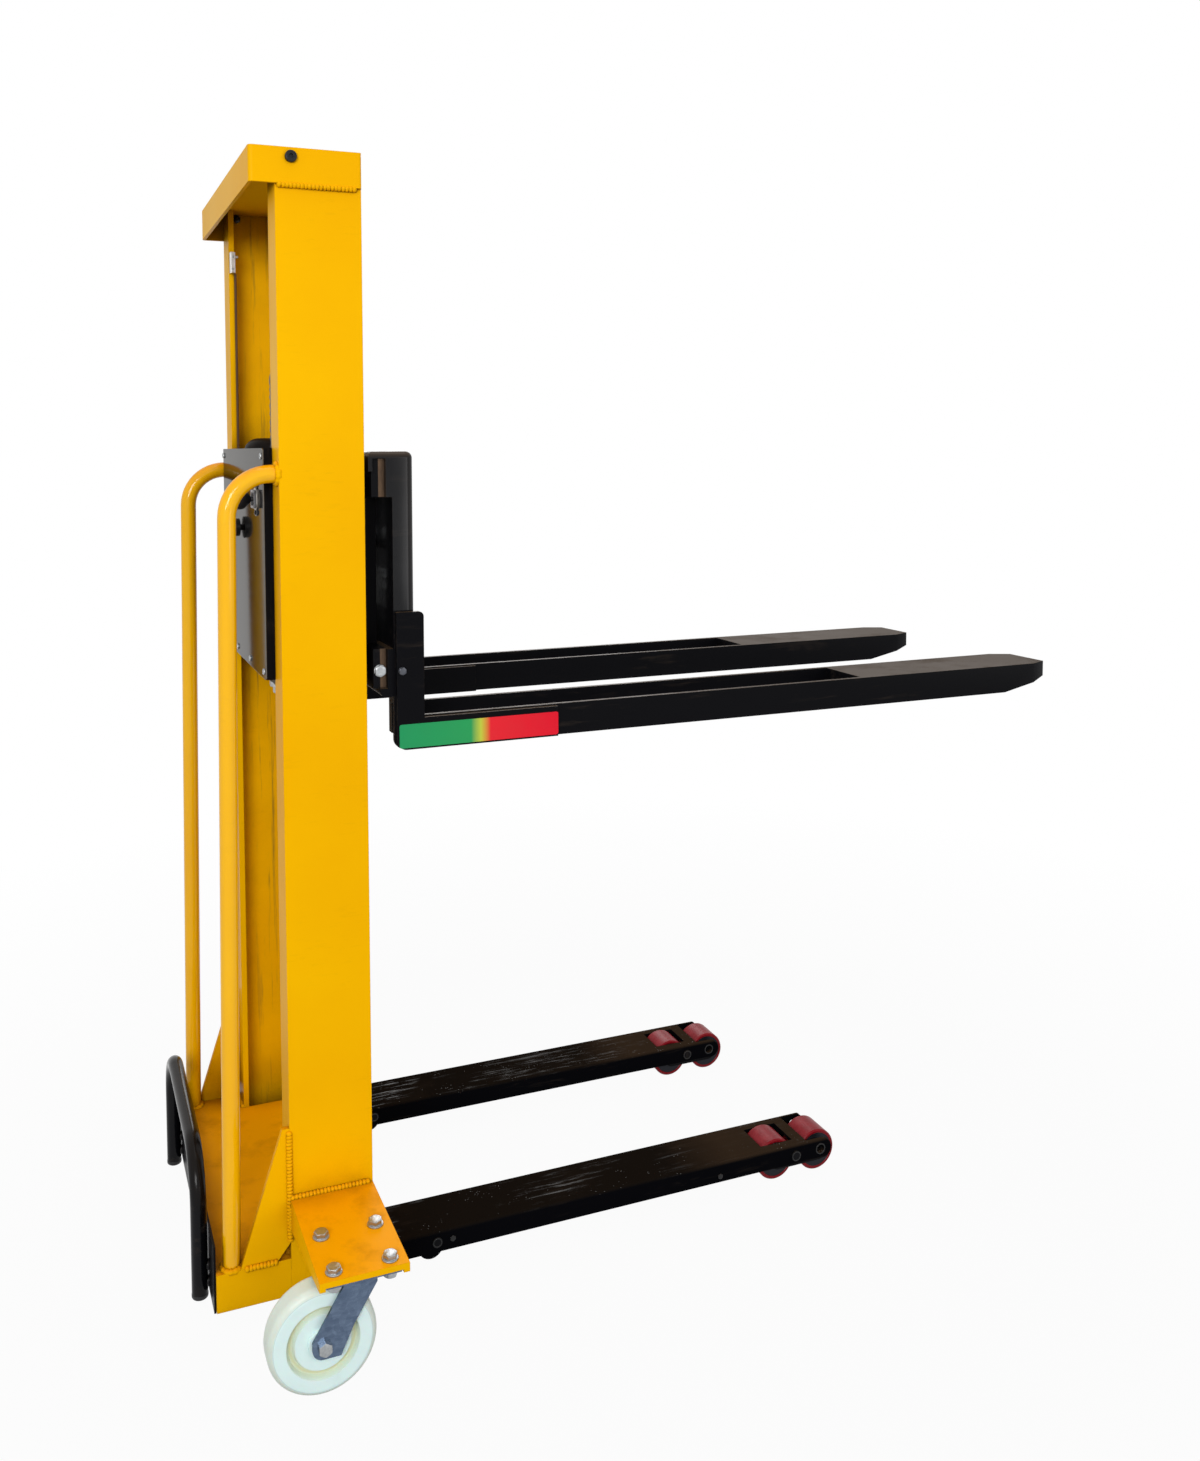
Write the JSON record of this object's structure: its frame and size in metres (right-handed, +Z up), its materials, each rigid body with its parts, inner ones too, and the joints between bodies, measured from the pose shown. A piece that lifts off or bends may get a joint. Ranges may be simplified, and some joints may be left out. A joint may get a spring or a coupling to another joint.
{
  "type": "self-loading pallet stacker",
  "caption": "Walk-behind pallet stacker with twin channel mast, lifting forks that drop over straddle legs, hydraulic chain lift, swivel casters and operator handles.",
  "frame": {"origin": "on the floor, under the middle of the whole outline", "axes": "+X from the mast to the fork tips, +Y to the operator's left, +Z up"},
  "size_m": [1.478, 0.868, 1.619],
  "materials": {
    "yellow_paint": "semi-gloss yellow paint on steel",
    "black_paint": "satin black paint on steel",
    "black_screws": "black oxide",
    "zinc": "bright zinc plate",
    "stainless": "brushed stainless sheet",
    "steel": "oiled machined steel",
    "chrome": "hard chrome plate",
    "nylon": "white nylon",
    "red_tread": "red polyurethane tread on a dark hub",
    "black_plastic": "moulded black plastic",
    "cable_rubber": "black cable sheath",
    "aluminium": "cast aluminium"
  },
  "bodies": {
    "chassis": {"mast_channel_right": "yellow_paint", "mast_channel_left": "yellow_paint", "mast_head_cap": "yellow_paint", "cap_screws": "black_screws", "base_frame": "yellow_paint", "base_rear_plate": "black_paint", "base_gussets": "yellow_paint", "caster_bracket_right": "yellow_paint", "caster_bracket_left": "yellow_paint", "bracket_bolts": "zinc", "handle_right": "yellow_paint", "handle_left": "yellow_paint", "foot_bar": "black_paint", "foot_bar_bolts": "black_screws", "leg_right": "black_paint", "leg_left": "black_paint", "leg_pins": "black_screws", "unit_frame": "black_paint", "panel_tray": "black_paint", "control_panel": "stainless", "panel_screws": "stainless", "control_collars": "stainless", "battery": "black_plastic", "pump_unit": "aluminium", "pump_motor": "black_paint", "hydraulic_pipe": "zinc", "lift_cylinder": "black_paint", "cylinder_gland": "black_paint", "limit_switch": "aluminium", "switch_cable": "cable_rubber", "rear_chain_runs": "steel", "caster_plates": "zinc"},
    "ram": {"lift_ram": "chrome", "crosshead": "black_paint", "front_chain_runs": "steel"},
    "sheaves": {"chain_sheaves": "steel"},
    "carriage": {"carriage_frame": "black_paint", "carriage_upper_bar": "black_paint", "carriage_lower_bar": "black_paint", "carriage_bolts": "zinc", "fork_right": "black_paint", "fork_left": "black_paint"},
    "control_lever": {"control_lever": "black_plastic"},
    "push_knob": {"push_knob": "black_plastic"},
    "mast_roller_lower_right": {"mast_roller_lower_right": "steel"},
    "mast_roller_lower_left": {"mast_roller_lower_left": "steel"},
    "mast_roller_upper_right": {"mast_roller_upper_right": "steel"},
    "mast_roller_upper_left": {"mast_roller_upper_left": "steel"},
    "caster_right": {"caster_yoke_right": "zinc", "caster_axle_right": "zinc"},
    "caster_wheel_right": {"caster_wheel_right": "nylon"},
    "bogie_right": {"bogie_right": "black_paint"},
    "load_roller_front_right": {"load_roller_front_right": "red_tread"},
    "load_roller_rear_right": {"load_roller_rear_right": "red_tread"},
    "caster_left": {"caster_yoke_left": "zinc", "caster_axle_left": "zinc"},
    "caster_wheel_left": {"caster_wheel_left": "nylon"},
    "bogie_left": {"bogie_left": "black_paint"},
    "load_roller_front_left": {"load_roller_front_left": "red_tread"},
    "load_roller_rear_left": {"load_roller_rear_left": "red_tread"}
  },
  "joints": [
    {"name": "ram_lift", "type": "slide", "parent": "chassis", "child": "ram", "axis": [0, 0, 1], "range_m": [-0.377, 0.173], "deforming": ["rear_chain_runs"]},
    {"name": "carriage_lift", "type": "slide", "parent": "ram", "child": "carriage", "axis": [0, 0, 1], "range_m": [-0.377, 0.173], "deforming": ["front_chain_runs"]},
    {"name": "sheave_spin", "type": "hinge", "parent": "ram", "child": "sheaves", "pos_m": [-0.531, 0, 1.325], "axis": [0, 1, 0], "range_deg": [-636.31, 292.53]},
    {"name": "mast_roller_lower_right_spin", "type": "hinge", "parent": "carriage", "child": "mast_roller_lower_right", "pos_m": [-0.55, -0.201, 0.92], "axis": [0, 1, 0], "range_deg": [-409.75, 891.74]},
    {"name": "mast_roller_lower_left_spin", "type": "hinge", "parent": "carriage", "child": "mast_roller_lower_left", "pos_m": [-0.55, 0.201, 0.92], "axis": [0, 1, 0], "range_deg": [-409.75, 891.74]},
    {"name": "mast_roller_upper_right_spin", "type": "hinge", "parent": "carriage", "child": "mast_roller_upper_right", "pos_m": [-0.55, -0.201, 1.164], "axis": [0, 1, 0], "range_deg": [-891.74, 409.75]},
    {"name": "mast_roller_upper_left_spin", "type": "hinge", "parent": "carriage", "child": "mast_roller_upper_left", "pos_m": [-0.55, 0.201, 1.164], "axis": [0, 1, 0], "range_deg": [-891.74, 409.75]},
    {"name": "caster_swivel_right", "type": "hinge", "parent": "chassis", "child": "caster_right", "pos_m": [-0.55, -0.387, 0.145], "axis": [0, 0, 1], "continuous": true},
    {"name": "caster_wheel_right_spin", "type": "hinge", "parent": "caster_right", "child": "caster_wheel_right", "pos_m": [-0.599, -0.387, 0.072], "axis": [0, 1, 0], "continuous": true},
    {"name": "bogie_pivot_right", "type": "hinge", "parent": "chassis", "child": "bogie_right", "pos_m": [0.231, -0.185, 0.045], "axis": [0, 1, 0], "range_deg": [-6, 6]},
    {"name": "load_roller_front_right_spin", "type": "hinge", "parent": "bogie_right", "child": "load_roller_front_right", "pos_m": [0.284, -0.185, 0.034], "axis": [0, 1, 0], "continuous": true},
    {"name": "load_roller_rear_right_spin", "type": "hinge", "parent": "bogie_right", "child": "load_roller_rear_right", "pos_m": [0.204, -0.185, 0.034], "axis": [0, 1, 0], "continuous": true},
    {"name": "caster_swivel_left", "type": "hinge", "parent": "chassis", "child": "caster_left", "pos_m": [-0.55, 0.387, 0.145], "axis": [0, 0, 1], "continuous": true},
    {"name": "caster_wheel_left_spin", "type": "hinge", "parent": "caster_left", "child": "caster_wheel_left", "pos_m": [-0.501, 0.387, 0.072], "axis": [0, 1, 0], "continuous": true},
    {"name": "bogie_pivot_left", "type": "hinge", "parent": "chassis", "child": "bogie_left", "pos_m": [0.231, 0.185, 0.045], "axis": [0, 1, 0], "range_deg": [-6, 6]},
    {"name": "load_roller_front_left_spin", "type": "hinge", "parent": "bogie_left", "child": "load_roller_front_left", "pos_m": [0.284, 0.185, 0.034], "axis": [0, 1, 0], "continuous": true},
    {"name": "load_roller_rear_left_spin", "type": "hinge", "parent": "bogie_left", "child": "load_roller_rear_left", "pos_m": [0.204, 0.185, 0.034], "axis": [0, 1, 0], "continuous": true},
    {"name": "lever_tilt", "type": "hinge", "parent": "chassis", "child": "control_lever", "pos_m": [-0.6165, -0.14, 1.147], "axis": [0, 1, 0], "range_deg": [-15, 15], "stiffness_Nm_per_rad": 1.5},
    {"name": "knob_press", "type": "slide", "parent": "chassis", "child": "push_knob", "axis": [1, 0, 0], "range_m": [0, 0.005], "stiffness_N_per_m": 600}
  ],
  "couplings": [
    {"joint": "carriage_lift", "follows": "ram_lift", "ratio": 1},
    {"joint": "sheave_spin", "follows": "ram_lift", "rad_per_m": 29.412},
    {"joint": "mast_roller_lower_right_spin", "follows": "ram_lift", "rad_per_m": -41.237},
    {"joint": "mast_roller_lower_left_spin", "follows": "ram_lift", "rad_per_m": -41.237},
    {"joint": "mast_roller_upper_right_spin", "follows": "ram_lift", "rad_per_m": 41.237},
    {"joint": "mast_roller_upper_left_spin", "follows": "ram_lift", "rad_per_m": 41.237}
  ]
}
